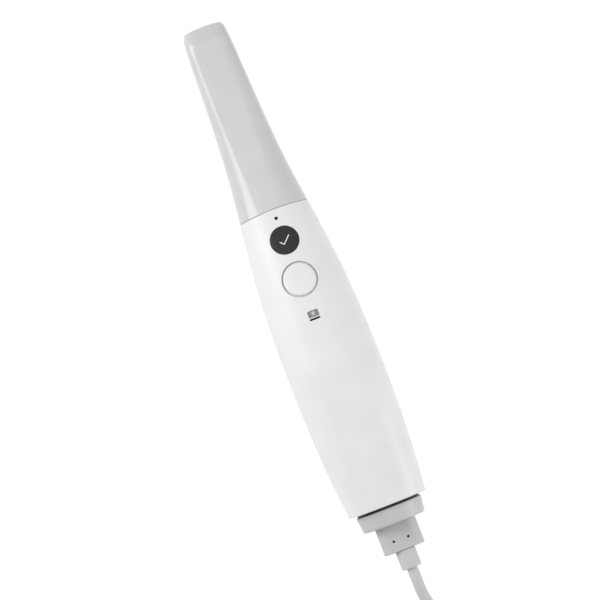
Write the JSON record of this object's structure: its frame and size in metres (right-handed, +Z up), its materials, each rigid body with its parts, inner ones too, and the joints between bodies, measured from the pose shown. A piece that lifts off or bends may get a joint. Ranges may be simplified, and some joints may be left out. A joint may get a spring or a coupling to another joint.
{
  "type": "intraoral camera",
  "caption": "Wired intraoral scanner: swelling white handpiece, slide-off mirror tip, top scan button, status window, rear collar with pull-out cable plug, cable folded in a tied hank",
  "frame": {"origin": "on the table under the middle of the handpiece, without its free cable", "axes": "+X to the right, +Y along the handpiece towards the mirror tip, +Z up through the scan button; the handpiece lies on its back with the scan window down"},
  "size_m": [0.0606, 0.452, 0.0474],
  "materials": {
    "white_shell": "fine satin moulding",
    "grey_tip": "satin, autoclavable",
    "grey_collar": "satin",
    "dark_window": "glossy translucent dark",
    "black_mark": "satin",
    "grey_badge": "satin",
    "glass": "clear coated",
    "mirror": "front-surface mirror",
    "aluminium": "machined",
    "steel": "plain",
    "black_plastic": "matt black",
    "circuit_board": "solder-resist green",
    "silicone": "soft matt",
    "cable_jacket": "soft satin",
    "brass": "turned"
  },
  "bodies": {
    "handpiece": {"optic_nose": "black_plastic", "nose_window": "glass", "nose_window_seal": "silicone", "nose_seal_ring": "silicone", "upper_cover": "white_shell", "lower_cover": "white_shell", "power_dot": "black_mark", "display_window": "dark_window", "uv_badge": "grey_badge", "uv_light_bar": "black_mark", "switch_housing": "steel", "button_board": "circuit_board", "display_light_box": "white_shell", "display_led": "grey_badge", "uv_indicator_led": "grey_badge", "board_screw_1": "steel", "board_screw_2": "steel", "board_screw_3": "steel", "optical_bench": "aluminium", "bench_screw_1": "steel", "bench_screw_2": "steel", "bench_screw_3": "steel", "bench_screw_4": "steel", "lens_block": "aluminium", "projector_lens": "black_plastic", "projector_engine": "black_plastic", "camera_lens_left": "black_plastic", "camera_lens_right": "black_plastic", "camera_sensor_left": "circuit_board", "camera_sensor_right": "circuit_board", "uv_lamp_board": "circuit_board", "uv_lamp": "glass", "heat_sink": "aluminium", "main_board": "circuit_board", "processor": "black_plastic", "board_spacer_front": "brass", "board_spacer_rear": "brass", "fan_housing": "black_plastic", "fan_bearing": "brass", "rear_collar": "grey_collar", "cable_socket": "black_plastic", "socket_board": "circuit_board"},
    "mirror_tip": {"tip_sleeve": "grey_tip", "tip_mirror": "mirror"},
    "button": {"scan_button": "white_shell", "switch_plunger": "black_plastic"},
    "fan": {"fan_rotor": "black_plastic", "fan_shaft": "steel"},
    "cable": {"plug_shell": "grey_collar", "plug_tongue": "black_plastic", "plug_screw_left": "black_mark", "plug_screw_right": "black_mark", "strain_relief": "cable_jacket", "cord_lead": "cable_jacket", "cord_hank": "cable_jacket", "cord_tail": "cable_jacket", "cord_tie": "black_plastic", "hub_plug_body": "grey_collar", "hub_plug_shell": "steel"}
  },
  "joints": [
    {"name": "tip_slide", "type": "slide", "parent": "handpiece", "child": "mirror_tip", "axis": [0, 1, 0], "range_m": [0, 0.04]},
    {"name": "button_press", "type": "slide", "parent": "handpiece", "child": "button", "axis": [0, -0.1532, -0.9882], "range_m": [0, 0.0006], "stiffness_N_per_m": 2500, "springref_m": -0.0002},
    {"name": "fan_spin", "type": "hinge", "parent": "handpiece", "child": "fan", "pos_m": [0, -0.07973, 0.02355], "axis": [0, 1, 0], "continuous": true},
    {"name": "plug_pull", "type": "slide", "parent": "handpiece", "child": "cable", "axis": [0, -1, 0], "range_m": [0, 0.012]}
  ]
}
